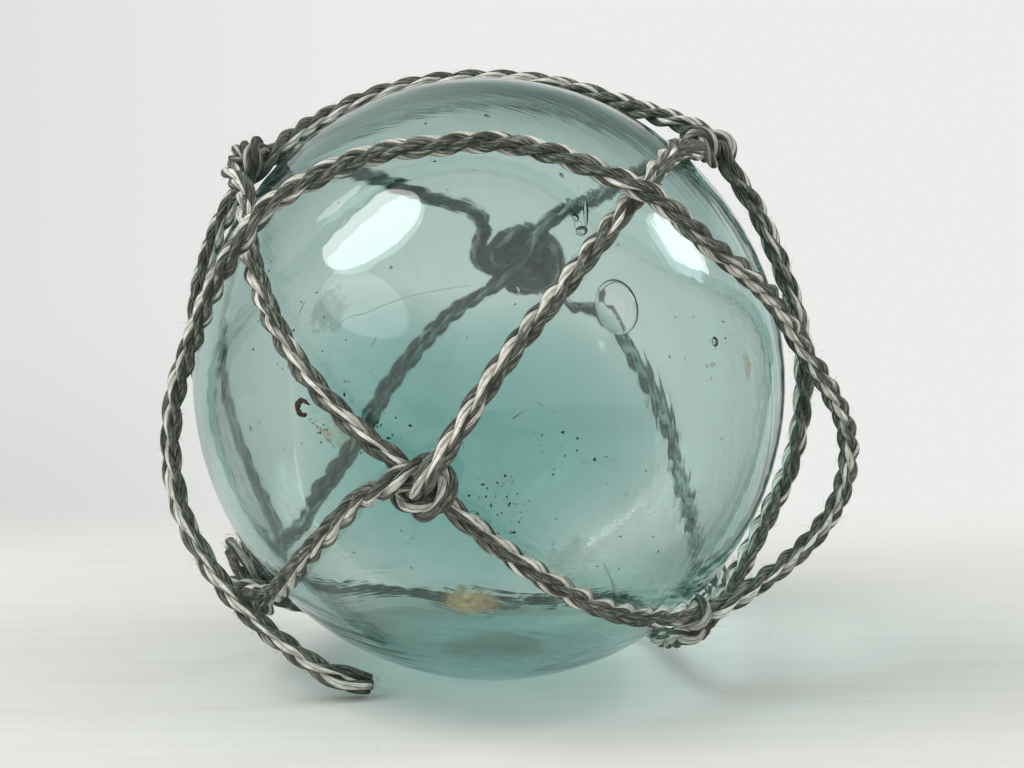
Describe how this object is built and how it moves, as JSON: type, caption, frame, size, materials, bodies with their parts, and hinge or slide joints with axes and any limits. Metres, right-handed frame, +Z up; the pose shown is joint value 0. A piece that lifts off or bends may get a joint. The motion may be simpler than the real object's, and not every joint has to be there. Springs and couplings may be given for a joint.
{
  "type": "glass fishing float",
  "caption": "Sealed blown glass ball held in a loose net of knotted twine with a long free end, which floats a fishing net or is kept as an ornament.",
  "frame": {"origin": "middle of the small flat spot under the ball, on the surface that it rests on", "axes": "+Z up, -Y towards the viewer and the front knot, +X to the viewer's right"},
  "size_m": [0.0869, 0.0827, 0.0781],
  "materials": {
    "glass": "clear blue-green blown glass with seeds, streaks and a little grime",
    "net_twine": "laid three-strand twine of dark and cream yarns, fuzzy",
    "cord_twine": "laid three-strand twine of dark and cream yarns, fuzzy"
  },
  "bodies": {
    "root": {"glass_ball": "glass", "twine_net": "net_twine", "loose_cord": "cord_twine"}
  },
  "joints": []
}
